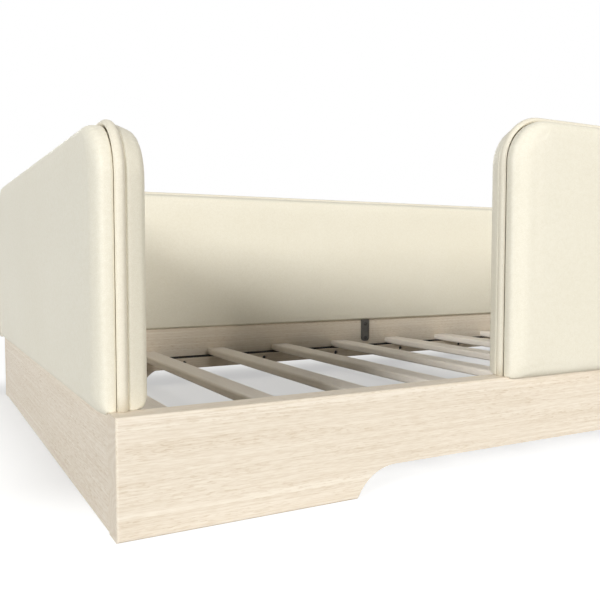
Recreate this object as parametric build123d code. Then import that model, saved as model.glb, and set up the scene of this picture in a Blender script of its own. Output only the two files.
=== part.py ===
# Toddler floor bed: a low timber box with a slatted base and four upholstered guard panels.
# Millimetres. Origin on the floor under the middle of the bed, +X towards the head end,
# +Y towards the back, +Z up. The entry gap is at the front, beside the foot end.
from build123d import *
from math import sqrt
import os

# Timber box
frame_length = 1490.0
frame_width = 774.0
rail_height = 107.0
rail_thickness = 27.0
rail_edge_radius = 2.5
butt_edge_chamfer = 0.8

# Raised stretch under each long rail
relief_inset = 240.0
relief_height = 30.0
relief_radius = 50.0

# Dowels that locate the end rails between the long rails
dowel_radius = 4.0
dowel_depth_end_rail = 20.0
dowel_depth_long_rail = 16.0
dowel_edge_distance = 22.0
dowel_end_clearance = 1.0

# Angle brackets in the corners
bracket_leg = 38.0
bracket_height = 60.0
bracket_thickness = 2.5
bracket_base = 24.0
bracket_screw_inset = 13.0
bracket_screw_edge = 14.0

# Ledgers on the long rails, with the webbing that the slats lie on
ledger_width = 18.5
ledger_height = 20.5
ledger_drop = 58.5
ledger_end_gap = 43.0
ledger_edge_radius = 1.5
ledger_screw_count = 8
ledger_screw_end_distance = 76.0
ledger_screw_height = 10.5
counterbore_radius = 4.5
counterbore_depth = 5.0
webbing_width = 16.0
webbing_thickness = 2.0

# Slats
slat_count = 10
slat_width = 37.0
slat_thickness = 13.0
slat_edge_radius = 4.0
slat_end_distance = 77.0
slat_end_clearance = 2.0

# Upholstered panels
back_panel_top = 367.5
foot_panel_top = 365.5
guard_panel_top = 401.0
head_panel_top = guard_panel_top
panel_overhang = 12.0
foot_panel_setback = 20.0
entry_offset = 436.0
panel_gap = 0.3
panel_corner_radius = 56.0
panel_lower_corner_radius = 16.0
pad_crown = 3.0
pad_edge_radius = 14.0
pad_seam_radius = 3.0
pad_lip = 2.5
edge_padding = 16.0
soft_clearance = 0.3
cord_radius = 3.75
cord_stand = 4.5

# Steel straps that tie the panels to the rails
strap_width = 20.0
strap_thickness = 3.0
strap_ledger_gap = 9.0
strap_rise = 85.0
strap_corner_radius = 8.0
strap_pocket_clearance = 1.0
strap_rail_screw_drops = (11.0, 42.0)
strap_panel_screw_rises = (30.0, 65.0)
end_strap_spacing = 460.0
back_strap_pitch_shares = (-4, 0, 4)
guard_strap_pitch_shares = (-1, 2, 4)

# Screws
screw_radius = 2.0
screw_head_radius = 4.2
screw_head_height = 2.2
screw_head_chamfer = 1.0
short_screw_length = 17.0
ledger_screw_length = 30.0
screw_clearance = 0.05
screw_end_clearance = 1.0

# Shared cutting overrun
overrun = 5.0

half_length = frame_length / 2
half_width = frame_width / 2
inner_half_length = half_length - rail_thickness
inner_half_width = half_width - rail_thickness
panel_half_thickness = rail_thickness / 2 + panel_overhang
slat_pitch = 2 * (inner_half_length - slat_end_distance) / (slat_count - 1)
ledger_top = rail_height - ledger_drop
slat_base = ledger_top + webbing_thickness
strap_drop = ledger_drop - strap_ledger_gap


def block(x_low, x_high, y_low, y_high, z_low, z_high):
    """Box between two corners."""
    centre = ((x_low + x_high) / 2, (y_low + y_high) / 2, (z_low + z_high) / 2)
    return Pos(*centre) * Box(x_high - x_low, y_high - y_low, z_high - z_low)


def span(one, other):
    """The two values, the lower first."""
    return min(one, other), max(one, other)


def spread(count, reach):
    """Evenly spaced places from -reach to reach."""
    return [reach * (2 * index / (count - 1) - 1) for index in range(count)]


def save(node, solids):
    """Write one node from one solid or from a group of separate solids."""
    shape = solids[0] if len(solids) == 1 else Compound(children=solids)
    shape.label = node
    export_step(shape, os.path.join("parts", node + ".step"))


# Screws. Each lies level: its head's seat is at the origin and its shank runs along +X.


def screw(length):
    """Pan-head screw."""
    head = extrude(Plane.YZ * Circle(screw_head_radius), -screw_head_height)
    head = chamfer(head.faces().sort_by(Axis.X)[0].edges(), screw_head_chamfer)
    return head + extrude(Plane.YZ * Circle(screw_radius), length)


def screw_hole(length):
    """Hole for a screw's shank, open at the head's seat."""
    return extrude(Plane.YZ * Circle(screw_radius + screw_clearance), length + screw_end_clearance)


def bracket_screw_places(side_x, side_y):
    """Where the screws of one corner bracket are driven, first into the end rail."""
    reach = bracket_leg - bracket_screw_inset
    face_x = side_x * (inner_half_length - bracket_thickness)
    face_y = side_y * (inner_half_width - bracket_thickness)
    heights = (bracket_base + bracket_screw_edge, bracket_base + bracket_height - bracket_screw_edge)
    end_y = side_y * (inner_half_width - reach)
    long_x = side_x * (inner_half_length - reach)
    into_end = [Pos(face_x, end_y, z) * Rot(0, 0, 90 - 90 * side_x) for z in heights]
    into_long = [Pos(long_x, face_y, z) * Rot(0, 0, 90 * side_y) for z in heights]
    return into_end, into_long


def ledger_screw_places(side):
    """Where the screws of one ledger are driven; side is -1 in front and 1 at the back."""
    reach = inner_half_length - ledger_end_gap - ledger_screw_end_distance
    seat = side * (inner_half_width - ledger_width + counterbore_depth)
    height = ledger_top - ledger_height + ledger_screw_height
    return [Pos(x, seat, height) * Rot(0, 0, 90 * side) for x in spread(ledger_screw_count, reach)]


# Timber box


def relief_tool():
    """Solid to cut from the bottom edge of a long rail, with rounded ends that leave the floor."""
    centre_drop = relief_radius - relief_height
    run_out = sqrt(relief_radius ** 2 - centre_drop ** 2)
    foot_x = half_length - relief_inset
    ceiling_x = foot_x - run_out
    turn_x = ceiling_x + relief_radius * sqrt(1 / 2)
    turn_z = relief_radius * sqrt(1 / 2) - centre_drop
    with BuildSketch(Plane.XZ) as section:
        with BuildLine():
            Polyline((-foot_x, 0), (-foot_x, -overrun), (foot_x, -overrun), (foot_x, 0))
            ThreePointArc((foot_x, 0), (turn_x, turn_z), (ceiling_x, relief_height))
            Line((ceiling_x, relief_height), (-ceiling_x, relief_height))
            ThreePointArc((-ceiling_x, relief_height), (-turn_x, turn_z), (-foot_x, 0))
        make_face()
    return extrude(section.sketch, rail_thickness, both=True)


def dowel_places(side_x, side_y):
    """Middle of the joint's dowels at one corner, on the end rail's end face."""
    x = side_x * (half_length - rail_thickness / 2)
    heights = (dowel_edge_distance, rail_height - dowel_edge_distance)
    return [Pos(x, side_y * inner_half_width, z) * Rot(0, 0, 90 * side_y) for z in heights]


def dowel(end_clearance):
    """Dowel that runs from the end rail, at -X, into the long rail, at +X, or its hole."""
    pin = extrude(Plane.YZ * Circle(dowel_radius), dowel_depth_long_rail + end_clearance)
    return pin + extrude(Plane.YZ * Circle(dowel_radius), -dowel_depth_end_rail - end_clearance)


def long_rail(side, strap_screws):
    """Front or back rail, which covers the end rails' ends."""
    y_low, y_high = span(side * half_width, side * inner_half_width)
    rail = block(-half_length, half_length, y_low, y_high, 0, rail_height)
    joints = rail.edges().filter_by(Axis.Z).group_by(Axis.Y)
    corners = joints[0] if side < 0 else joints[-1]
    rail = fillet(rail.edges().filter_by(Axis.X) + corners, rail_edge_radius)
    rail -= Pos(0, (y_low + y_high) / 2, 0) * relief_tool()
    holes = [place * screw_hole(short_screw_length) for place in strap_screws]
    holes += [place * screw_hole(ledger_screw_length) for place in ledger_screw_places(side)]
    for side_x in (-1, 1):
        holes += [place * screw_hole(short_screw_length) for place in bracket_screw_places(side_x, side)[1]]
        holes += [place * dowel(dowel_end_clearance) for place in dowel_places(side_x, side)]
    return rail - holes


def end_rail(side, strap_screws):
    """Foot or head end rail, which stands between the long rails."""
    x_low, x_high = span(side * half_length, side * inner_half_length)
    rail = block(x_low, x_high, -inner_half_width, inner_half_width, 0, rail_height)
    rail = fillet(rail.edges().filter_by(Axis.Y), rail_edge_radius)
    butts = rail.faces().filter_by(Axis.Y).edges().filter_by(Axis.Z).group_by(Axis.X)
    rail = chamfer(butts[0] if side < 0 else butts[-1], butt_edge_chamfer)
    holes = [place * screw_hole(short_screw_length) for place in strap_screws]
    for side_y in (-1, 1):
        holes += [place * screw_hole(short_screw_length) for place in bracket_screw_places(side, side_y)[0]]
        holes += [place * dowel(dowel_end_clearance) for place in dowel_places(side, side_y)]
    return rail - holes


def corner_bracket(side_x, side_y):
    """Steel angle screwed into one inside corner."""
    corner_x = side_x * inner_half_length
    corner_y = side_y * inner_half_width
    reach_x = span(corner_x, corner_x - side_x * bracket_leg)
    reach_y = span(corner_y, corner_y - side_y * bracket_leg)
    thick_x = span(corner_x, corner_x - side_x * bracket_thickness)
    thick_y = span(corner_y, corner_y - side_y * bracket_thickness)
    z_top = bracket_base + bracket_height
    angle = block(*reach_x, *thick_y, bracket_base, z_top) + block(*thick_x, *reach_y, bracket_base, z_top)
    into_end, into_long = bracket_screw_places(side_x, side_y)
    return angle - [place * screw_hole(short_screw_length) for place in into_end + into_long]


# Slatted base


def ledger(side):
    """Batten on the inner face of a long rail, with counterbored screw holes."""
    reach = inner_half_length - ledger_end_gap
    y_free = side * (inner_half_width - ledger_width)
    y_low, y_high = span(side * inner_half_width, y_free)
    batten = block(-reach, reach, y_low, y_high, ledger_top - ledger_height, ledger_top)
    free_edges = batten.edges().filter_by(Axis.X).group_by(Axis.Y)[0 if side > 0 else -1]
    batten = fillet(free_edges, ledger_edge_radius)
    counterbore = extrude(Plane.YZ * Circle(counterbore_radius), -counterbore_depth - overrun)
    hole = screw_hole(ledger_screw_length) + counterbore
    return batten - [place * hole for place in ledger_screw_places(side)]


def webbing(side):
    """Flat strip along the top of a ledger, under the slats."""
    reach = inner_half_length - ledger_end_gap
    y_middle = side * (inner_half_width - ledger_width / 2)
    y_low = y_middle - webbing_width / 2
    return block(-reach, reach, y_low, y_low + webbing_width, ledger_top, slat_base)


def slat(x):
    """Board with rounded edges across the bed."""
    reach = inner_half_width - slat_end_clearance
    x_low = x - slat_width / 2
    timber = block(x_low, x_low + slat_width, -reach, reach, slat_base, slat_base + slat_thickness)
    return fillet(timber.edges().filter_by(Axis.Y), slat_edge_radius)


# Upholstered panels. Each is made with its length along X, its outer side towards -Y, its
# mid-plane at Y = 0 and the rail's top at Z = 0, and is then placed on its rail.


def outline(length, height, corner_radius, inset, base, lower_radius):
    """Face of a pad seen from outside, inset from the panel's ends and top."""
    top = height - inset
    with BuildSketch(Plane.XZ) as face:
        with Locations((0, (base + top) / 2)):
            Rectangle(length - 2 * inset, top - base)
        fillet(face.vertices().group_by(Axis.Y)[-1], corner_radius - inset)
        if lower_radius:
            fillet(face.vertices().group_by(Axis.Y)[0], lower_radius)
    return face.sketch


def board(length, height, corner_radius, clearance):
    """Board inside a panel, or the pocket for it with a clearance all round."""
    inset = cord_stand + edge_padding - clearance
    with BuildSketch(Plane.XZ) as face:
        with Locations((0, (height - inset) / 2)):
            Rectangle(length - 2 * inset, height - inset)
        fillet(face.vertices().group_by(Axis.Y)[-1], corner_radius - inset)
    return extrude(face.sketch, rail_thickness / 2 + clearance, both=True)


def crown_tool(length, height, base):
    """Solid whose outer side, towards -Y, bows out at the middle of the pad's height."""
    middle = (base + height) / 2
    rise = (height - base) / 2
    radius = (rise ** 2 + pad_crown ** 2) / (2 * pad_crown)
    reach = rise + overrun
    face_y = -panel_half_thickness
    edge_y = face_y + radius - sqrt(radius ** 2 - reach ** 2)
    low = (edge_y, middle - reach)
    high = (edge_y, middle + reach)
    with BuildSketch(Plane.YZ) as section:
        with BuildLine():
            ThreePointArc(low, (face_y, middle), high)
            Polyline(high, (0, middle + reach), (0, middle - reach), low)
        make_face()
    return extrude(section.sketch, length, both=True)


def pad(length, height, corner_radius):
    """Padded outer half of a panel: crowned, rounded, and hollowed for the board and the cord."""
    seat_y = cord_radius + soft_clearance
    face = outline(length, height, corner_radius, cord_stand, -pad_lip, panel_lower_corner_radius)
    body = extrude(face, panel_half_thickness + overrun) & crown_tool(length, height - cord_stand, -pad_lip)
    body -= block(-length, length, -seat_y, overrun, -height, height)
    body = fillet(body.faces().sort_by(Axis.Y)[0].edges(), pad_edge_radius)
    body = fillet(body.faces().sort_by(Axis.Y)[-1].edges(), pad_seam_radius)
    seam = extrude(outline(length, height, corner_radius, 2 * cord_radius + soft_clearance, 0, 0), seat_y)
    seam -= block(-length, length, -soft_clearance / 2, overrun, -height, height)
    return body + seam - board(length, height, corner_radius, soft_clearance)


def piping(length, height, corner_radius):
    """Round cord along the seam, up one end, over the top and down the other end."""
    path = Wire(outline(length, height, corner_radius, cord_radius, 0, 0).edges().sort_by(Axis.Z)[1:])
    cord = sweep(Plane(origin=path @ 0, z_dir=path % 0) * Circle(cord_radius), path=path)
    return cord - block(-length, length, -cord_radius, cord_radius, -overrun, 0)


def strap(x, thickness, margin):
    """Steel strap on the inner face of a rail and its panel's board, or the pocket for it."""
    with BuildSketch(Plane.XZ) as face:
        with Locations((x, (strap_rise - strap_drop) / 2)):
            Rectangle(strap_width + 2 * margin, strap_rise + strap_drop + 2 * margin)
        fillet(face.vertices(), strap_corner_radius)
    return Pos(0, rail_thickness / 2, 0) * extrude(face.sketch, -thickness)


def strap_screw_places(x):
    """Where a strap's screws are driven, first into the rail and then into the board."""
    y = rail_thickness / 2 + strap_thickness
    into_rail = [Pos(x, y, -drop) * Rot(0, 0, -90) for drop in strap_rail_screw_drops]
    into_board = [Pos(x, y, rise) * Rot(0, 0, -90) for rise in strap_panel_screw_rises]
    return into_rail, into_board


def rail_envelopes():
    """Room that the pads' lower edges leave for the four rails."""
    grown_length = half_length + soft_clearance
    grown_width = half_width + soft_clearance
    inner_length = inner_half_length - soft_clearance
    inner_width = inner_half_width - soft_clearance
    envelopes = []
    for side in (-1, 1):
        across = span(side * inner_width, side * grown_width)
        along = span(side * inner_length, side * grown_length)
        envelopes.append(block(-grown_length, grown_length, *across, 0, rail_height))
        envelopes.append(block(*along, -grown_width, grown_width, 0, rail_height))
    return envelopes


def panel(name, place, length, height, corner_radius, strap_xs):
    """Save one panel's pieces, and return where its straps' screws enter the rail and the board."""
    into_rail = []
    into_board = []
    pockets = []
    straps = []
    hole = screw_hole(short_screw_length)
    for x in strap_xs:
        rail_screws, board_screws = strap_screw_places(x)
        straps.append(strap(x, strap_thickness, 0) - [spot * hole for spot in rail_screws + board_screws])
        pocket_depth = strap_thickness + screw_head_height + soft_clearance
        pockets.append(place * strap(x, pocket_depth, strap_pocket_clearance))
        into_rail += [place * spot for spot in rail_screws]
        into_board += [place * spot for spot in board_screws]
    outer = pad(length, height, corner_radius)
    inner = outer.mirror(Plane.XZ)
    core = board(length, height, corner_radius, 0)
    save(name + "_panel_board", [place * core - [spot * hole for spot in into_board]])
    save(name + "_panel_outer_pad", [place * outer - rail_envelopes()])
    save(name + "_panel_inner_pad", [place * inner - rail_envelopes() - pockets])
    save(name + "_panel_piping", [place * piping(length, height, corner_radius)])
    save(name + "_panel_straps", [place * piece for piece in straps])
    return into_rail, into_board


os.makedirs("parts", exist_ok=True)

back_y = half_width - rail_thickness / 2
end_x = half_length - rail_thickness / 2
butt_y = back_y - panel_half_thickness - panel_gap
full_reach = half_length + panel_overhang
foot_front_y = -half_width + foot_panel_setback
guard_start_x = -half_length + entry_offset
guard_middle_x = (guard_start_x + full_reach) / 2
foot_middle_y = (foot_front_y + butt_y) / 2
end_strap_xs = [-end_strap_spacing / 2, end_strap_spacing / 2]

back_place = Pos(0, back_y, rail_height) * Rot(0, 0, 180)
guard_place = Pos(guard_middle_x, -back_y, rail_height)
foot_place = Pos(-end_x, foot_middle_y, rail_height) * Rot(0, 0, -90)
head_place = Pos(end_x, 0, rail_height) * Rot(0, 0, 90)

back_xs = [share * slat_pitch for share in back_strap_pitch_shares]
guard_xs = [share * slat_pitch - guard_middle_x for share in guard_strap_pitch_shares]

foot_height = foot_panel_top - rail_height
back_height = back_panel_top - rail_height
guard_height = guard_panel_top - rail_height
head_height = head_panel_top - rail_height
back_length = 2 * full_reach
guard_length = full_reach - guard_start_x
foot_length = butt_y - foot_front_y
head_length = 2 * butt_y
radius = panel_corner_radius

back_screws = panel("back", back_place, back_length, back_height, radius, back_xs)
guard_screws = panel("guard", guard_place, guard_length, guard_height, radius, guard_xs)
foot_screws = panel("foot", foot_place, foot_length, foot_height, radius, end_strap_xs)
head_screws = panel("head", head_place, head_length, head_height, radius, end_strap_xs)

save("front_rail", [long_rail(-1, guard_screws[0])])
save("back_rail", [long_rail(1, back_screws[0])])
save("foot_end_rail", [end_rail(-1, foot_screws[0])])
save("head_end_rail", [end_rail(1, head_screws[0])])

corners = [(side_x, side_y) for side_x in (-1, 1) for side_y in (-1, 1)]
save("corner_brackets", [corner_bracket(*corner) for corner in corners])
save("corner_dowels", [place * dowel(0) for corner in corners for place in dowel_places(*corner)])
bracket_screws = [place for corner in corners for group in bracket_screw_places(*corner) for place in group]
save("bracket_screws", [place * screw(short_screw_length) for place in bracket_screws])

for side, name in ((-1, "front"), (1, "back")):
    save(name + "_ledger", [ledger(side)])
    save(name + "_webbing", [webbing(side)])
ledger_screws = ledger_screw_places(-1) + ledger_screw_places(1)
save("ledger_screws", [place * screw(ledger_screw_length) for place in ledger_screws])

for number, x in enumerate(spread(slat_count, inner_half_length - slat_end_distance), start=1):
    save("slat_%02d" % number, [slat(x)])

panel_screws = back_screws + guard_screws + foot_screws + head_screws
strap_screws = [place for group in panel_screws for place in group]
save("strap_screws", [place * screw(short_screw_length) for place in strap_screws])
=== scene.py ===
import math
from collections import namedtuple

import bpy
import numpy as np
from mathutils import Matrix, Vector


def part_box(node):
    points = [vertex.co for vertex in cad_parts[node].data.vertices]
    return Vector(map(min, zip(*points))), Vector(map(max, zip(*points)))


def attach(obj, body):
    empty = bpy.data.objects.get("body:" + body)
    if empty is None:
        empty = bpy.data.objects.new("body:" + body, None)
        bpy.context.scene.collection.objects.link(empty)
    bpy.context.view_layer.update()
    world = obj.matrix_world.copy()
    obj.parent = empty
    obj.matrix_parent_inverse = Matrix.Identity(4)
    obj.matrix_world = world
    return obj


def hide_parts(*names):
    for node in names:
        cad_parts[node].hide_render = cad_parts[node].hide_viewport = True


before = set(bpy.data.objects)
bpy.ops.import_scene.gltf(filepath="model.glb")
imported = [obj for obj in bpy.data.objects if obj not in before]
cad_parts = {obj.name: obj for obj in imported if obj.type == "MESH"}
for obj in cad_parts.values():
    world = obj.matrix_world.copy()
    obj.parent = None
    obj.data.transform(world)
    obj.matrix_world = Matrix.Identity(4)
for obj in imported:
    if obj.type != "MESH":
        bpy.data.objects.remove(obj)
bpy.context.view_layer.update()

scene = bpy.context.scene

MM = 0.001

# Camera: its height over the floor, its place beside the near corner of the timber box, and its turn
CAMERA_HEIGHT = 0.239
CAMERA_LEFT = 0.1486
CAMERA_FRONT = 0.5942
CAMERA_YAW = 28.54
CAMERA_PITCH = 3.2255
CAMERA_REACH = 200
SENSOR_WIDTH = 36
FOCAL_PIXELS = 722.2
PHOTO_PIXELS = 600

# Lamps: compass angle from the front towards the foot end, height angle, width, height and power. All
# stand far off, so that near and far panels are lit alike. Those in front stand low, so that the panels
# shade each other, and the one behind lights the outside of the back.
LAMP_DISTANCE = 20
SIDE_LAMP = (60, 17.5, 5.8, 4.9, 2690)
FRONT_LAMP = (-18, 18.2, 13.3, 5.3, 2330)
TOP_LAMP = (0, 88, 5.3, 5.3, 320)
BACK_LAMP = (-168, 13, 8, 3, 650)
SIDE_COLOUR = (0.975, 0.985, 0.975)
FRONT_COLOUR = (1.0, 0.978, 0.925)

# Sky, which lights only a little
WORLD_STRENGTH = 0.01
WORLD_COLOUR = (0.96, 0.98, 1.0)

# Floor. It glows so that it shows white around the bed, and least between two corners under the bed, which
# paints shade there.
# Away from there the glow rises twice: each rise has its start, its end and its amount. The near rise is
# painted light over the bed's own shadow beside it.
FLOOR_SIZE = 80
FLOOR_COLOUR = 0.42
FLOOR_ROUGHNESS = 0.9
FLOOR_GLOW = 0.48
FLOOR_GLOW_NEAR = (0.0, 0.20, 0.36)
FLOOR_GLOW_FAR = (0.6, 3.0, 0.17)
FLOOR_DIM_LOW = (-0.68, -0.17)
FLOOR_DIM_HIGH = (0.757, 0.399)

# Panels. An inset is measured in the panel's plane, inwards from the piping's outermost line, and w
# from the panel's mid-plane towards its outer or inner side. Points stand about RUN_STEP apart along
# straight stretches.
CORNER_RADIUS = 56 * MM
RUN_STEP = 20 * MM
UPPER_ARC_STEPS = 36
LOWER_ARC_STEPS = 8

# Padded halves: how far they reach below the piping's foot, their gap over the rails, the hidden back
# of each, the slack that the cloth's swelling takes up, the steps round their edge, and the share of
# its depth that the seam has at the top
PAD_LIP = 2.5 * MM
SEAT_GAP = 0.3 * MM
BACK_INSET = 21 * MM
BACK_W = 13.8 * MM
SLACK = 0.4 * MM
EDGE_STEPS = 9
SEAM_TOP_SHARE = 0.3

# Their lower edge and corners. The corners' radius grows from the least one at the seam
LOWER_EDGE_SHARE = 0.45
LOWER_CORNER_LEAST = 2 * MM
LOWER_CORNER_RADIUS = 12 * MM

# Crown of a face: its height, and the powers that shape it along the panel and up it
CROWN = 1.0 * MM
CROWN_ALONG_POWERS = (8, 2)
CROWN_UP_POWERS = (2, 1.5)

# Each half's inset at the ends and at the top, slope in degrees from the seam to the rounded edge,
# depth and width of that edge, and its depth at the top as a share. The seam is in millimetres, from
# the stitching to the start of the slope: depth under the pad's outline, and w.
Half = namedtuple("Half", "end_inset top_inset slope edge_depth edge_width top_share seam")
OUTER_SIDE = Half(
    end_inset=2.6 * MM,
    top_inset=6.0 * MM,
    slope=2.5,
    edge_depth=24 * MM,
    edge_width=11.0 * MM,
    top_share=0.4,
    seam=((5.0, 5.3), (2.3, 6.0), (1.4, 6.4), (0.8, 7.2), (0.3, 8.6), (0.0, 10.0)),
)
INNER_SIDE = Half(
    end_inset=3.2 * MM,
    top_inset=4.0 * MM,
    slope=18,
    edge_depth=10 * MM,
    edge_width=10.0 * MM,
    top_share=1.1,
    seam=((4.0, 3.4), (1.2, 4.1), (0.45, 4.9), (0.12, 6.0), (0.0, 7.2)),
)

# Piping, a round cord in its sleeve, whose tail runs down between the pads. The cord is round as far as
# CORD_TURN degrees to each side
CORD_RADIUS = 5.2 * MM
CORD_W = 0.8 * MM
CORD_STEPS = 20
CORD_TURN = 75
TAIL_DEPTH = 4 * MM
TAIL_W = -4.1 * MM

# Small gathers in the cover along the seam, at the rounded upper corners: their height, reach and
# inset, the w at which they are full, the share of their height that they also move in the panel's
# plane, their number round a quarter turn, how they stray from even spacing, and a slower wave
PUCKER_DEPTH = 0.16 * MM
PUCKER_REACH = 6.0 * MM
PUCKER_INSET = 5.0 * MM
PUCKER_FULL_W = 10 * MM
PUCKER_PLANE_SHARE = 0.6
PUCKER_COUNT = 15
PUCKER_STRAY = 1.3
PUCKER_STRAY_TURNS = 7
PUCKER_STRAY_DRIFT = 9
PUCKER_SLOW_SHARE = 0.5
PUCKER_SLOW_RATE = 2.3

# Cloth simulation of the covers, and what is kept of its movement: the cap on each point's way, the
# share of the sliding in the panel's plane, and how often neighbours are evened out
COVER_FRAMES = 20
COVER_PRESSURE = 4.0
COVER_QUALITY = 6
COVER_STRETCH_STIFFNESS = 20
COVER_BEND_STIFFNESS = 2
COVER_CAP = 0.22 * MM
COVER_SLIDE = 0.15
COVER_EVENINGS = 14

# Textures, in cells per metre, and the depths of their relief. Those of timber are along the grain and
# across it, and a seed shifts them by its steps.
LEATHER_CELLS = 620
LEATHER_PORES = 2100
LEATHER_MOTTLE = 260
LEATHER_CLOUDS = 7
LEATHER_GRAIN_DEPTH = 0.18 * MM
LEATHER_MOTTLE_DEPTH = 0.6 * MM
TIMBER_BANDS = (1.1, 34)
TIMBER_STREAKS = (5, 560)
TIMBER_FIBRES = (75, 900)
TIMBER_PORES = (120, 900)
TIMBER_PORE_GROUPS = (5, 90)
TIMBER_RAYS = (1.6, 210)
TIMBER_RINGS = (3, 9)
TIMBER_RING_TURNS = 190
TIMBER_SEED_STEPS = (1.7, 0.9, 2.3)
TIMBER_END_PORES = 1300
TIMBER_GRAIN_DEPTH = 0.22 * MM
TIMBER_STREAK_DEPTH = 0.6 * MM
STEEL_SPECKLES = 900
STEEL_CLOUDS = 60
STEEL_SPECKLE_DEPTH = 0.2 * MM
# Weave of the near-black strip on the ledgers, whose black is painted shade of the gap between the slats.
STRIP_WARP = 190
STRIP_WEFT = 260
STRIP_WAVINESS = 0.6
STRIP_FUZZ = 1500
STRIP_WEAVE_DEPTH = 0.5 * MM

# Colours of the finishes, where their texture is lightest and darkest
OAK = ((0.985, 0.900, 0.785), (0.745, 0.625, 0.485))
LEDGER = ((0.86, 0.76, 0.63), (0.60, 0.48, 0.36))
SLAT = ((0.985, 0.925, 0.85), (0.87, 0.77, 0.68))
DOWEL = ((0.80, 0.62, 0.42), (0.56, 0.38, 0.22))
BOARD = ((0.74, 0.60, 0.42), (0.50, 0.36, 0.22))
STEEL = ((0.125, 0.121, 0.113), (0.043, 0.041, 0.037))
SCREW = ((0.09, 0.085, 0.08), (0.012, 0.011, 0.010))
# Near-black strip on the ledgers: painted shade of the gap between the slats.
SHADE_STRIP = ((0.035, 0.030, 0.026), (0.006, 0.005, 0.004))
# Ivory and cord reach their dark ends partly in the grain's creases, where the darkening is painted shade.
IVORY = ((0.945, 0.905, 0.785), (0.86, 0.81, 0.675))
CORD = ((0.915, 0.865, 0.740), (0.83, 0.77, 0.64))

# Finish of each CAD node, by the end of its name. What is left are the slats, whose names end in numbers
NODE_FINISHES = (
    ("end_rail", "oak_across"),
    ("rail", "oak_along"),
    ("ledger", "ledger"),
    # Nodes named webbing take the near-black strip, painted shade of the gap between the slats.
    ("webbing", "webbing"),
    ("dowels", "dowel"),
    ("screws", "screw"),
    ("brackets", "steel"),
    ("straps", "steel"),
    ("board", "board"),
    ("piping", "piping"),
    ("pad", "upholstery"),
    ("", "slat"),
)


def socket(value, owner, name):
    """Connect a node's output to an input, or set the input to a plain value."""
    target = owner.inputs[name]
    if isinstance(value, bpy.types.NodeSocket):
        owner.id_data.links.new(value, target)
    else:
        target.default_value = value


class Shader:
    """Small builder for one node material."""

    # Places of the colours among a Mix node's inputs and outputs
    MIX_FIRST = 6
    MIX_SECOND = 7
    MIX_RESULT = 2

    def __init__(self, name):
        self.material = bpy.data.materials.new(name)
        self.material.use_nodes = True
        self.tree = self.material.node_tree
        self.surface = self.tree.nodes["Principled BSDF"]
        self.place = self.tree.nodes.new("ShaderNodeTexCoord").outputs["Object"]

    def add(self, kind, output, inputs, **settings):
        """New node with its settings and inputs, as the named output."""
        node = self.tree.nodes.new(kind)
        for key, value in settings.items():
            setattr(node, key, value)
        for key, value in inputs.items():
            socket(value, node, key)
        return node.outputs[output]

    def stretch(self, scale, offset):
        inputs = {"Vector": self.place, "Scale": scale, "Location": offset}
        return self.add("ShaderNodeMapping", "Vector", inputs)

    def noise(self, vector, scale, detail, roughness=0.5, distortion=0.0):
        inputs = {"Vector": vector, "Scale": scale, "Detail": detail, "Roughness": roughness}
        inputs["Distortion"] = distortion
        return self.add("ShaderNodeTexNoise", "Fac", inputs)

    def cells(self, scale):
        """Distance from the edges of irregular cells."""
        inputs = {"Vector": self.place, "Scale": scale}
        return self.add("ShaderNodeTexVoronoi", "Distance", inputs, feature="DISTANCE_TO_EDGE")

    def waves(self, scale, direction):
        """Wavy bands across a direction."""
        inputs = {"Vector": self.place, "Scale": scale, "Distortion": STRIP_WAVINESS}
        return self.add("ShaderNodeTexWave", "Fac", inputs, bands_direction=direction)

    def spread(self, value, ends, new_ends=(0.0, 1.0), **settings):
        """A value between two ends, carried over to two new ends and held between them."""
        inputs = {"Value": value, "From Min": ends[0], "From Max": ends[1]}
        inputs.update({"To Min": new_ends[0], "To Max": new_ends[1]})
        return self.add("ShaderNodeMapRange", "Result", inputs, **settings)

    def maths(self, operation, one, other):
        return self.add("ShaderNodeMath", "Value", {0: one, 1: other}, operation=operation)

    def vector_maths(self, operation, one, other=(0, 0, 0), output="Vector"):
        return self.add("ShaderNodeVectorMath", output, {0: one, 1: other}, operation=operation)

    def blend(self, share, one, other):
        """Colour between one, at share 0, and other, at share 1."""
        inputs = {0: share}
        for index, colour in ((self.MIX_FIRST, one), (self.MIX_SECOND, other)):
            inputs[index] = colour if isinstance(colour, bpy.types.NodeSocket) else (*colour, 1.0)
        return self.add("ShaderNodeMix", self.MIX_RESULT, inputs, data_type="RGBA")

    def bump(self, height, depth, strength, normal=None):
        """Relief of a depth, over an earlier relief's normal if there is one."""
        inputs = {"Height": height, "Strength": strength, "Distance": depth}
        if normal is not None:
            inputs["Normal"] = normal
        return self.add("ShaderNodeBump", "Normal", inputs)

    def facing(self, axis):
        """1 on faces square to an axis, and 0 on those along it."""
        normal = self.tree.nodes.new("ShaderNodeNewGeometry").outputs["Normal"]
        part = self.add("ShaderNodeSeparateXYZ", "XYZ"[axis], {"Vector": normal})
        return self.spread(self.maths("ABSOLUTE", part, 0.0), (0.75, 0.95))

    def finish(self, colour, roughness, normal, specular, metallic=0.0):
        socket(colour, self.surface, "Base Color")
        socket(roughness, self.surface, "Roughness")
        socket(normal, self.surface, "Normal")
        socket(specular, self.surface, "Specular IOR Level")
        socket(metallic, self.surface, "Metallic")
        return self.material


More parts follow.
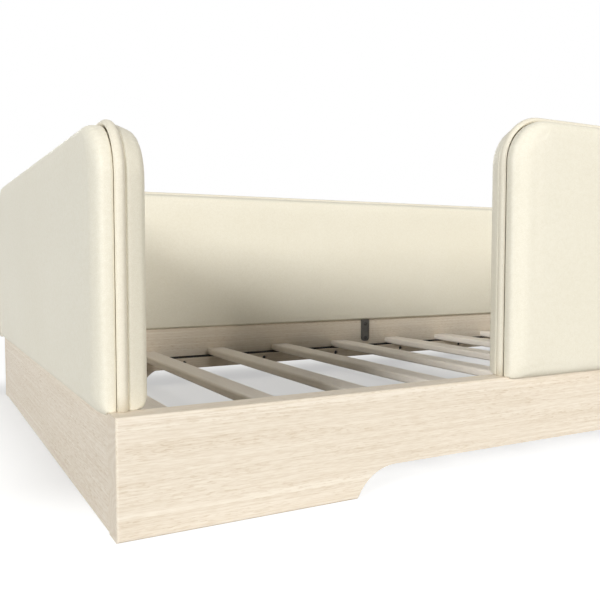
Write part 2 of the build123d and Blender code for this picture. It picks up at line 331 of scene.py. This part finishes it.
def leather(name, light, dark):
    """Soft leather with a fine pebbled grain, and painted shade in the grain's creases."""
    look = Shader(name)
    cells = look.cells(LEATHER_CELLS)
    pores = look.noise(look.place, LEATHER_PORES, detail=3, roughness=0.6)
    cloud = look.noise(look.place, LEATHER_CLOUDS, detail=3)
    mottle = look.noise(look.place, LEATHER_MOTTLE, detail=3, roughness=0.6)

    # The grain's creases are darker: painted shade in its recesses, beside the real relief of the bump
    # below.
    painted_crease_shade = look.spread(cells, (0.0, 0.22), (0.5, 0.0))
    clouds = look.spread(cloud, (0.3, 0.7), (0.0, 0.30))
    mottling = look.spread(mottle, (0.35, 0.65), (0.0, 0.30))
    tone = look.maths("ADD", look.maths("ADD", clouds, mottling), painted_crease_shade)
    colour = look.blend(tone, light, dark)

    roughness = look.spread(mottle, (0.3, 0.7), (0.46, 0.56))
    pebbles = look.spread(cells, (0.0, 0.3))
    height = look.maths("ADD", pebbles, look.spread(pores, (0.2, 0.8), (0.0, 0.35)))
    grain = look.bump(height, LEATHER_GRAIN_DEPTH, strength=0.32)
    normal = look.bump(mottle, LEATHER_MOTTLE_DEPTH, strength=0.10, normal=grain)
    return look.finish(colour, roughness, normal, specular=0.45)


def wood(name, axis, light, dark, seed, contrast=1.0, pore_strength=0.65):
    """Pale timber with long fine streaks, pores and a different look on its end grain."""
    look = Shader(name)
    offset = tuple(seed * step for step in TIMBER_SEED_STEPS)

    def layer(cells, detail, **settings):
        """Noise that is drawn out along the grain."""
        along, across = cells
        scale = tuple(along if index == axis else across for index in range(3))
        return look.noise(look.stretch(scale, offset), 1.0, detail, **settings)

    band = layer(TIMBER_BANDS, detail=4, roughness=0.55, distortion=0.2)
    streak = layer(TIMBER_STREAKS, detail=3, roughness=0.6)
    fibre = layer(TIMBER_FIBRES, detail=3, roughness=0.6)
    pore = layer(TIMBER_PORES, detail=1)
    group = layer(TIMBER_PORE_GROUPS, detail=2)
    ray = layer(TIMBER_RAYS, detail=2, distortion=0.1)
    ring = layer(TIMBER_RINGS, detail=2, distortion=0.4)
    dot = look.noise(look.place, TIMBER_END_PORES, detail=2)

    bands = look.spread(band, (0.32, 0.70), (0.0, 0.20 * contrast))
    streaks = look.spread(streak, (0.37, 0.65), (0.0, 0.48 * contrast))
    fibres = look.spread(fibre, (0.38, 0.63), (0.0, 0.50 * contrast))
    pores = look.spread(pore, (0.56, 0.66), (0.0, pore_strength))
    pores = look.maths("MULTIPLY", pores, look.spread(group, (0.38, 0.60)))
    rays = look.spread(ray, (0.60, 0.72), (0.0, 0.50))
    tone = look.maths("ADD", look.maths("ADD", bands, streaks), look.maths("ADD", fibres, pores))
    face = look.blend(look.spread(look.maths("SUBTRACT", tone, rays), (0.0, 1.5)), light, dark)

    wave = look.maths("SINE", look.maths("MULTIPLY", ring, TIMBER_RING_TURNS), 0.0)
    rings = look.spread(wave, (-1.0, 1.0), (0.25, 0.5))
    dots = look.spread(dot, (0.50, 0.72), (0.0, 0.5))
    end = look.blend(look.maths("ADD", rings, dots), light, dark)
    colour = look.blend(look.facing(axis), face, end)

    roughness = look.spread(fibre, (0.3, 0.7), (0.52, 0.66))
    height = look.maths("SUBTRACT", look.maths("MULTIPLY", fibre, 0.6), look.maths("MULTIPLY", pores, 0.9))
    grain = look.bump(height, TIMBER_GRAIN_DEPTH, strength=0.35)
    normal = look.bump(streak, TIMBER_STREAK_DEPTH, strength=0.12, normal=grain)
    return look.finish(colour, roughness, normal, specular=0.3)


def painted_steel(name, light, dark, roughness):
    """Powder-coated or blackened steel with worn edges, from a given roughness up."""
    look = Shader(name)
    speckle = look.noise(look.place, STEEL_SPECKLES, detail=3, roughness=0.6)
    cloud = look.noise(look.place, STEEL_CLOUDS, detail=3)
    pointed = look.tree.nodes.new("ShaderNodeNewGeometry").outputs["Pointiness"]
    wear = look.spread(pointed, (0.53, 0.60), (0.0, 0.6))
    tone = look.maths("ADD", look.spread(cloud, (0.3, 0.7), (0.0, 0.5)), wear)
    colour = look.blend(tone, dark, light)
    rough = look.spread(speckle, (0.3, 0.7), (roughness, roughness + 0.12))
    normal = look.bump(speckle, STEEL_SPECKLE_DEPTH, strength=0.25)
    return look.finish(colour, rough, normal, specular=0.5, metallic=0.2)


def woven_shade_strip(name, light, dark):
    """Near-black strip woven across its length, whose black is painted shade of the gap between the slats.
    """
    look = Shader(name)
    weave = look.maths("MULTIPLY", look.waves(STRIP_WARP, "X"), look.waves(STRIP_WEFT, "Y"))
    fuzz = look.noise(look.place, STRIP_FUZZ, detail=3)
    tone = look.maths("MULTIPLY", weave, look.spread(fuzz, (0.2, 0.8), (0.6, 1.0)))
    colour = look.blend(tone, dark, light)
    roughness = look.spread(fuzz, (0.3, 0.7), (0.78, 0.92))
    normal = look.bump(weave, STRIP_WEAVE_DEPTH, strength=0.6)
    return look.finish(colour, roughness, normal, specular=0.2)


materials = {
    "oak_along": wood("oak_along_rail", 0, *OAK, seed=0.0),
    "oak_across": wood("oak_across_bed", 1, *OAK, seed=1.3),
    "ledger": wood("ledger_wood", 0, *LEDGER, seed=2.1, contrast=0.8),
    "slat": wood("slat_wood", 1, *SLAT, seed=3.4, contrast=0.7, pore_strength=0.3),
    "dowel": wood("dowel_wood", 1, *DOWEL, seed=4.2),
    "board": wood("panel_board_wood", 2, *BOARD, seed=5.1, contrast=1.2),
    "steel": painted_steel("strap_steel", *STEEL, roughness=0.42),
    "screw": painted_steel("screw_steel", *SCREW, roughness=0.34),
    # Near-black strip on the ledgers, painted shade of the gap between the slats.
    "webbing": woven_shade_strip("shade_strip_weave", *SHADE_STRIP),
    "upholstery": leather("ivory_upholstery", *IVORY),
    "piping": leather("ivory_piping", *CORD),
}

for name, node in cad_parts.items():
    finish = next(finish for ending, finish in NODE_FINISHES if name.endswith(ending))
    node.data.materials.clear()
    node.data.materials.append(materials[finish])


# Upholstered panels. Each has its own plane: u along it, v up from the rail, w out of the bed.


class Panel:
    """Where one panel stands, read from its CAD nodes."""

    def __init__(self, name, along, out):
        self.name = name
        self.along = np.array(along, float)
        self.out = np.array(out, float)
        low, high = (np.array(corner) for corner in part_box(name + "_panel_piping"))
        middle = (low + high) / 2
        self.origin = np.array((middle[0], middle[1], low[2]))
        self.half_length = abs((high - low) @ self.along) / 2
        self.height = high[2] - low[2]
        pad_low, pad_high = (np.array(corner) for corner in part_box(name + "_panel_outer_pad"))
        face = pad_high if self.out.sum() > 0 else pad_low
        self.half_thickness = (face - self.origin) @ self.out
        self.flat = round(2 * self.half_length / RUN_STEP)
        self.rise = round(self.height / RUN_STEP)

    def points(self, u, v, w):
        """Places in the bed's frame."""
        u, v, w = np.broadcast_arrays(u, v, w)
        up = np.array((0, 0, 1.0))
        return self.origin + u[..., None] * self.along + v[..., None] * up + w[..., None] * self.out

    def plane(self, places):
        """The panel's own u, v and w of places in the bed's frame."""
        offset = places - self.origin
        return offset @ self.along, offset[:, 2], offset @ self.out

    def upper(self, end_inset, top_inset, foot):
        """Outline up the right end, over the top and down the left end, from a height."""
        side, top = self.half_length - end_inset, self.height - top_inset
        centre_u, centre_v = self.half_length - CORNER_RADIUS, self.height - CORNER_RADIUS
        reach = (CORNER_RADIUS - end_inset, CORNER_RADIUS - top_inset)
        path = [run((side, foot), (side, centre_v), self.rise)]
        path.append(arc((centre_u, centre_v), reach, 0, UPPER_ARC_STEPS))
        path.append(run((centre_u, top), (-centre_u, top), self.flat))
        path.append(arc((-centre_u, centre_v), reach, 90, UPPER_ARC_STEPS))
        path.append(run((-side, centre_v), (-side, foot), self.rise))
        return np.concatenate(path)

    def loop(self, end_inset, top_inset, top_share, depth, low_r):
        """Pad outline at a depth under its rounded edge, anticlockwise, from the bottom's left end."""
        right = self.half_length - end_inset - depth
        bottom = -PAD_LIP + LOWER_EDGE_SHARE * depth
        turn_u = self.half_length - CORNER_RADIUS
        spare = (UPPER_ARC_STEPS - LOWER_ARC_STEPS) // 2
        path = [run((low_r - right, bottom), (-turn_u, bottom), spare)]
        path.append(run((-turn_u, bottom), (turn_u, bottom), self.flat))
        path.append(run((turn_u, bottom), (right - low_r, bottom), spare))
        path.append(arc((right - low_r, bottom + low_r), (low_r, low_r), -90, LOWER_ARC_STEPS))
        path.append(self.upper(end_inset + depth, top_inset + top_share * depth, bottom + low_r))
        path.append(arc((low_r - right, bottom + low_r), (low_r, low_r), 180, LOWER_ARC_STEPS))
        return np.concatenate(path)

    def sides(self):
        """Indices of a loop's points along the bottom, right, top and left of the grid inside it."""
        half_low, half_high = LOWER_ARC_STEPS // 2, UPPER_ARC_STEPS // 2
        base = self.flat + UPPER_ARC_STEPS - LOWER_ARC_STEPS
        corner_1 = base + half_low
        corner_2 = base + LOWER_ARC_STEPS + self.rise + half_high
        corner_3 = corner_2 + UPPER_ARC_STEPS + self.flat
        corner_4 = corner_3 + half_high + self.rise + half_low
        size = corner_4 + half_low
        bottom = [index % size for index in range(corner_4, size + corner_1 + 1)]
        right = list(range(corner_1, corner_2 + 1))
        top = list(range(corner_2, corner_3 + 1))[::-1]
        left = list(range(corner_3, corner_4 + 1))[::-1]
        return bottom, right, top, left


def run(start, end, steps):
    """Evenly spaced points of a straight stretch, without its last."""
    share = np.arange(steps)[:, None] / steps
    return np.array(start) * (1 - share) + np.array(end) * share


def arc(centre, reach, start_angle, steps):
    """Points of a quarter turn of an ellipse, without its last."""
    angle = np.radians(start_angle + 90 * np.arange(steps) / steps)
    return np.array(centre) + np.array(reach) * np.stack((np.cos(angle), np.sin(angle)), axis=1)


def coons(bottom, right, top, left):
    """Grid between four runs of points that share their corners."""
    across = np.linspace(0, 1, len(bottom))[:, None, None]
    up = np.linspace(0, 1, len(left))[None, :, None]
    edges = (1 - up) * bottom[:, None] + up * top[:, None]
    edges = edges + (1 - across) * left[None] + across * right[None]
    corners = (1 - across) * (1 - up) * bottom[0] + across * (1 - up) * bottom[-1]
    corners = corners + (1 - across) * up * top[0] + across * up * top[-1]
    return edges - corners


def mesh_object(name, places, faces, material):
    """Smooth-shaded object made of points and faces."""
    mesh = bpy.data.meshes.new(name)
    mesh.from_pydata([tuple(place) for place in places], [], faces)
    mesh.materials.append(materials[material])
    mesh.polygons.foreach_set("use_smooth", [True] * len(mesh.polygons))
    made = bpy.data.objects.new(name, mesh)
    scene.collection.objects.link(made)
    return made


def closed_strip(first, second):
    """Quads between two closed rings of vertex indices."""
    turned = first[1:] + first[:1], second[1:] + second[:1]
    return [list(corner) for corner in zip(first, turned[0], turned[1], second)]


def grid_faces(grid):
    """Quads of a grid of vertex indices, whose first index runs along the bottom."""
    faces = []
    for i in range(len(grid) - 1):
        for j in range(len(grid[0]) - 1):
            faces.append([grid[i][j], grid[i + 1][j], grid[i + 1][j + 1], grid[i][j + 1]])
    return faces


def crown_shape(share, powers):
    """1 in the middle of a run from -1 to 1, falling to 0 with no slope at its ends."""
    inner, outer = powers
    return (1 - share ** inner) ** outer


def inside_grid(places, ring, panel, crown):
    """Fill a ring with a crowned grid: its new places, and the indices of the whole grid."""
    bottom, right, top, left = ([ring[index] for index in side] for side in panel.sides())
    patch = coons(*(np.array([places[index] for index in side]) for side in (bottom, right, top, left)))
    across = 2 * np.linspace(0, 1, len(bottom))[:, None] - 1
    up = 2 * np.linspace(0, 1, len(left))[None, :] - 1
    patch[..., 2] += crown * crown_shape(across, CROWN_ALONG_POWERS) * crown_shape(up, CROWN_UP_POWERS)
    grid = [[None] * len(left) for _ in bottom]
    fresh = []
    for i in range(len(bottom)):
        for j in range(len(left)):
            if j == 0:
                grid[i][j] = bottom[i]
            elif j == len(left) - 1:
                grid[i][j] = top[i]
            elif i == 0:
                grid[i][j] = left[j]
            elif i == len(bottom) - 1:
                grid[i][j] = right[j]
            else:
                grid[i][j] = len(places) + len(fresh)
                fresh.append(tuple(patch[i, j]))
    return fresh, grid


def section_of(panel, half):
    """Depth and w of a padded half's outlines, from its back over the seam to its face."""
    face_w = panel.half_thickness - CROWN - SLACK
    section = [(BACK_INSET, BACK_W), (BACK_INSET, half.seam[0][1] * MM)]
    section += [(depth * MM, w * MM) for depth, w in half.seam]
    start = math.radians(half.slope)
    turn_w = face_w - half.edge_width * (1 - math.sin(start))
    turn_depth = math.tan(start) * (turn_w - section[-1][1])
    for step in range(EDGE_STEPS + 1):
        angle = start + (math.pi / 2 - start) * step / EDGE_STEPS
        depth = turn_depth + half.edge_depth * (math.cos(start) - math.cos(angle))
        section.append((depth, face_w - half.edge_width * (1 - math.sin(angle))))
    return section


def cushion(panel, side, half):
    """Padded half of a panel, on side 1 outside the bed or -1 inside, and its pinned vertices."""
    seam_end = 1 + len(half.seam)
    places = []
    rings = []
    for number, (depth, w) in enumerate(section_of(panel, half)):
        top_share = SEAM_TOP_SHARE if 1 < number <= seam_end else half.top_share
        rise = max(number - seam_end, 0) / EDGE_STEPS
        low_r = LOWER_CORNER_LEAST + math.sqrt(rise) * (LOWER_CORNER_RADIUS - LOWER_CORNER_LEAST)
        ring = panel.loop(half.end_inset, half.top_inset, top_share, depth, low_r)
        rings.append(list(range(len(places), len(places) + len(ring))))
        places.extend((u, v, w) for u, v in ring)
    faces = []
    for first, second in zip(rings, rings[1:]):
        faces += closed_strip(first, second)
    fresh, grid = inside_grid(places, rings[-1], panel, CROWN)
    places += fresh
    faces += grid_faces(grid)
    pinned = [index for ring in rings[:seam_end] for index in ring]
    fresh, grid = inside_grid(places, rings[0], panel, 0)
    pinned += range(len(places), len(places) + len(fresh))
    places += fresh
    faces += [face[::-1] for face in grid_faces(grid)]
    u, v, w = np.array(places).T
    if side < 0:
        faces = [face[::-1] for face in faces]
    name = panel.name + ("_panel_outer_cushion" if side > 0 else "_panel_inner_cushion")
    made = mesh_object(name, panel.points(u, v, side * w), faces, "upholstery")
    return made, pinned


def places_of(mesh):
    """The vertices of a mesh as an array."""
    flat = np.empty(len(mesh.vertices) * 3, dtype=np.float32)
    mesh.vertices.foreach_get("co", flat)
    return flat.reshape(-1, 3).astype(float)


def set_places(mesh, places):
    """Move the vertices of a mesh to the places of an array."""
    mesh.vertices.foreach_set("co", places.astype(np.float32).ravel())
    mesh.update()


def evened(mesh, move, pinned):
    """Movement of a mesh's points, evened out between neighbours and zero where pinned."""
    ends = np.empty(len(mesh.edges) * 2, dtype=np.int32)
    mesh.edges.foreach_get("vertices", ends)
    one, other = ends.reshape(-1, 2).T
    count = np.bincount(ends, minlength=len(move))[:, None]
    for _ in range(COVER_EVENINGS):
        total = np.zeros_like(move)
        np.add.at(total, one, move[other])
        np.add.at(total, other, move[one])
        move = (move + total / count) / 2
        move[pinned] = 0
    return move


def inflate(pieces):
    """Swell the covers under the pressure of their foam, each point within the cap of its start.

    The board inside holds a cover's ends, so the sliding in the panel's plane is mostly taken out.
    """
    starts = []
    for piece, pinned, panel in pieces:
        starts.append(places_of(piece.data))
        group = piece.vertex_groups.new(name="seam")
        group.add(pinned, 1.0, "REPLACE")
        settings = piece.modifiers.new("cover", "CLOTH").settings
        settings.vertex_group_mass = group.name
        settings.use_pressure = True
        settings.uniform_pressure_force = COVER_PRESSURE
        settings.effector_weights.gravity = 0
        settings.quality = COVER_QUALITY
        settings.tension_stiffness = COVER_STRETCH_STIFFNESS
        settings.compression_stiffness = COVER_STRETCH_STIFFNESS
        settings.bending_stiffness = COVER_BEND_STIFFNESS
    for number in range(1, COVER_FRAMES + 1):
        scene.frame_set(number)
    graph = bpy.context.evaluated_depsgraph_get()
    ends = [places_of(piece.evaluated_get(graph).data) for piece, pinned, panel in pieces]
    for (piece, pinned, panel), start, end in zip(pieces, starts, ends):
        piece.modifiers.remove(piece.modifiers["cover"])
        piece.vertex_groups.clear()
        move = end - start
        swell = (move @ panel.out)[:, None] * panel.out
        move = swell + COVER_SLIDE * (move - swell)
        move = evened(piece.data, move, pinned)
        way = np.linalg.norm(move, axis=1, keepdims=True)
        set_places(piece.data, start + move / np.sqrt(1 + (way / COVER_CAP) ** 2))
    scene.frame_set(1)


def subdivide(piece):
    """Apply one level of subdivision."""
    piece.modifiers.new("finer", "SUBSURF").levels = 1
    graph = bpy.context.evaluated_depsgraph_get()
    finer = bpy.data.meshes.new_from_object(piece.evaluated_get(graph))
    piece.modifiers.clear()
    coarse = piece.data
    finer.name = coarse.name
    piece.data = finer
    bpy.data.meshes.remove(coarse)


rail_low, rail_high = (np.array(corner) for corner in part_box("front_rail"))
end_high = np.array(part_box("foot_end_rail")[1])
RAIL_TOP = rail_high[2]
OUTER_X, OUTER_Y = -rail_low[0], -rail_low[1]
INNER_X, INNER_Y = -end_high[0], -rail_high[1]


def over_rails(places):
    """Which places lie over the timber box's rails, seen from above."""
    x, y = np.abs(places[:, 0]), np.abs(places[:, 1])
    within = (x < OUTER_X + SEAT_GAP) & (y < OUTER_Y + SEAT_GAP)
    return within & ((x > INNER_X - SEAT_GAP) | (y > INNER_Y - SEAT_GAP))


def pucker(piece, panel, side):
    """Press small gathers into the cover beside the seam, round the upper corners."""
    places = places_of(piece.data)
    u, v, w = panel.plane(places)
    from_u = np.abs(u) - (panel.half_length - CORNER_RADIUS)
    from_v = v - (panel.height - CORNER_RADIUS)
    angle = np.degrees(np.arctan2(from_v, from_u))
    depth = CORNER_RADIUS - np.hypot(from_u, from_v) - PUCKER_INSET
    in_corner = (from_u > 0) & (from_v > 0)
    window = np.where(in_corner, np.sin(np.radians(np.clip(2 * angle, 0, 180))), 0) ** 0.5
    fade = np.exp(-(depth / PUCKER_REACH) ** 2) * np.clip(side * w / PUCKER_FULL_W, 0, 1)
    turn = np.radians(angle)
    stray = PUCKER_STRAY * np.sin(PUCKER_STRAY_TURNS * turn + PUCKER_STRAY_DRIFT * u)
    gathers = np.sin(4 * PUCKER_COUNT * turn + stray)
    slow = PUCKER_SLOW_SHARE * np.sin(PUCKER_SLOW_RATE * PUCKER_COUNT * turn)
    lift = PUCKER_DEPTH * window * fade * (gathers + slow)
    outwards = np.cos(turn) * np.sign(u)
    places += (PUCKER_PLANE_SHARE * lift * outwards)[:, None] * panel.along
    places += lift[:, None] * side * panel.out
    places[:, 2] += PUCKER_PLANE_SHARE * lift * np.sin(turn)
    set_places(piece.data, places)


def seat(piece, panel):
    """Rest a cushion's underside on the rails, and keep its faces within the panel's thickness."""
    places = places_of(piece.data)
    on_rail = over_rails(places)
    places[on_rail, 2] = np.maximum(places[on_rail, 2], RAIL_TOP + SEAT_GAP)
    w = panel.plane(places)[2]
    excess = np.sign(w) * np.maximum(np.abs(w) - panel.half_thickness, 0)
    set_places(piece.data, places - excess[:, None] * panel.out)


def piping(panel):
    """Piping along the seam, up one end, over the top and down the other end."""
    tail_end, tail_top = INNER_SIDE.end_inset + TAIL_DEPTH, INNER_SIDE.top_inset + TAIL_DEPTH
    section = [(tail_end, tail_top, CORD_W)]
    for step in range(CORD_STEPS + 1):
        angle = math.radians(CORD_TURN * (1 - 2 * step / CORD_STEPS))
        inset = CORD_RADIUS * (1 - math.cos(angle))
        section.append((inset, inset, CORD_W + CORD_RADIUS * math.sin(angle)))
    section.append((tail_end, tail_top, TAIL_W))
    rows = []
    for end_inset, top_inset, w in section:
        line = panel.upper(end_inset, top_inset, SEAT_GAP)
        line = np.concatenate((line, [(end_inset - panel.half_length, SEAT_GAP)]))
        rows.append(np.column_stack((line, np.full(len(line), w))))
    length = len(rows[0])
    u, v, w = np.concatenate(rows).T
    faces = []
    for row in range(len(rows)):
        here, there = row * length, (row + 1) % len(rows) * length
        for step in range(length - 1):
            faces.append([here + step, there + step, there + step + 1, here + step + 1])
    faces.append([row * length for row in range(len(rows))][::-1])
    faces.append([row * length + length - 1 for row in range(len(rows))])
    return mesh_object(panel.name + "_panel_piping_cover", panel.points(u, v, w), faces, "piping")


panels = [
    Panel("foot", (0, -1, 0), (-1, 0, 0)),
    Panel("back", (-1, 0, 0), (0, 1, 0)),
    Panel("guard", (1, 0, 0), (0, -1, 0)),
    Panel("head", (0, 1, 0), (1, 0, 0)),
]
pads = []
for panel in panels:
    for side, half, node in ((1, OUTER_SIDE, "_panel_outer_pad"), (-1, INNER_SIDE, "_panel_inner_pad")):
        made, pinned = cushion(panel, side, half)
        pads.append((made, pinned, panel, side, panel.name + node))
inflate([(made, pinned, panel) for made, pinned, panel, side, node in pads])
for made, pinned, panel, side, node in pads:
    subdivide(made)
    pucker(made, panel, side)
    seat(made, panel)
    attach(made, "root")
    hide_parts(node)
for panel in panels:
    cord = piping(panel)
    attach(cord, "root")
    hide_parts(panel.name + "_panel_piping")


def photo_camera():
    """Camera at the place and angle of the photograph."""
    camera = bpy.data.objects.new("view_camera", bpy.data.cameras.new("view_camera"))
    camera.location = (rail_low[0] - CAMERA_LEFT, rail_low[1] - CAMERA_FRONT, CAMERA_HEIGHT)
    camera.rotation_euler = (math.radians(90 - CAMERA_PITCH), 0, -math.radians(CAMERA_YAW))
    camera.data.sensor_width = SENSOR_WIDTH
    camera.data.lens = FOCAL_PIXELS / PHOTO_PIXELS * SENSOR_WIDTH
    camera.data.clip_end = CAMERA_REACH
    scene.collection.objects.link(camera)
    scene.camera = camera


def seen_share(tree):
    """1 for rays that show the background: camera, glossy and transmission rays."""
    path = tree.nodes.new("ShaderNodeLightPath")
    total = path.outputs["Is Camera Ray"]
    for ray in ("Is Glossy Ray", "Is Transmission Ray"):
        add = tree.nodes.new("ShaderNodeMath")
        add.use_clamp = True
        socket(total, add, 0)
        socket(path.outputs[ray], add, 1)
        total = add.outputs[0]
    return total


def studio_world():
    """Faint pale sky as light, and plain white where it is seen."""
    world = bpy.data.worlds.new("studio")
    world.use_nodes = True
    scene.world = world
    tree = world.node_tree
    sky = tree.nodes["Background"]
    socket((*WORLD_COLOUR, 1), sky, "Color")
    socket(WORLD_STRENGTH, sky, "Strength")
    white = tree.nodes.new("ShaderNodeBackground")
    socket((1, 1, 1, 1), white, "Color")
    choose = tree.nodes.new("ShaderNodeMixShader")
    socket(seen_share(tree), choose, 0)
    socket(sky.outputs[0], choose, 1)
    socket(white.outputs[0], choose, 2)
    socket(choose.outputs[0], tree.nodes["World Output"], "Surface")


def lamp(name, colour, azimuth, elevation, width, height, power):
    """Large soft lamp that faces the bed."""
    made = bpy.data.objects.new(name, bpy.data.lights.new(name, "AREA"))
    turn, rise = math.radians(azimuth), math.radians(elevation)
    level = LAMP_DISTANCE * math.cos(rise)
    made.location = (-level * math.sin(turn), -level * math.cos(turn), LAMP_DISTANCE * math.sin(rise))
    made.rotation_euler = (math.pi / 2 - rise, 0, -turn)
    made.data.shape = "RECTANGLE"
    made.data.size = width
    made.data.size_y = height
    made.data.energy = power
    made.data.color = colour
    scene.collection.objects.link(made)


def floor_glow(look):
    """Strength of the floor's glow, which rises with the distance from the area under the bed: painted
    shade under the bed, and painted light over the bed's shadow beside it.
    """
    low, high = np.array((*FLOOR_DIM_LOW, 0)), np.array((*FLOOR_DIM_HIGH, 0))
    from_middle = look.vector_maths("SUBTRACT", look.place, (low + high) / 2)
    beyond = look.vector_maths("SUBTRACT", look.vector_maths("ABSOLUTE", from_middle), (high - low) / 2)
    gap = look.vector_maths("LENGTH", look.vector_maths("MAXIMUM", beyond), output="Value")
    glow = FLOOR_GLOW
    for start, end, amount in (FLOOR_GLOW_NEAR, FLOOR_GLOW_FAR):
        rise = look.spread(gap, (start, end), (0.0, amount), interpolation_type="SMOOTHSTEP")
        glow = look.maths("ADD", rise, glow)
    return look.maths("MULTIPLY", glow, seen_share(look.tree))


def white_floor():
    """White floor, which keeps the bed's shadow, under a glow of painted light that is weakest under the
    bed, where it paints shade.
    """
    half = FLOOR_SIZE / 2
    corners = [(-half, -half, 0), (half, -half, 0), (half, half, 0), (-half, half, 0)]
    mesh = bpy.data.meshes.new("floor")
    mesh.from_pydata(corners, [], [(0, 1, 2, 3)])
    floor = bpy.data.objects.new("floor", mesh)
    scene.collection.objects.link(floor)
    look = Shader("white_floor")
    socket((FLOOR_COLOUR, FLOOR_COLOUR, FLOOR_COLOUR, 1), look.surface, "Base Color")
    socket(FLOOR_ROUGHNESS, look.surface, "Roughness")
    socket(0.0, look.surface, "Specular IOR Level")
    socket((1, 1, 1, 1), look.surface, "Emission Color")
    socket(floor_glow(look), look.surface, "Emission Strength")
    mesh.materials.append(look.material)
    return floor


photo_camera()
studio_world()
lamp("side_lamp", SIDE_COLOUR, *SIDE_LAMP)
lamp("front_lamp", FRONT_COLOUR, *FRONT_LAMP)
lamp("top_lamp", FRONT_COLOUR, *TOP_LAMP)
lamp("back_lamp", SIDE_COLOUR, *BACK_LAMP)
white_floor()

scene.view_settings.view_transform = "Standard"
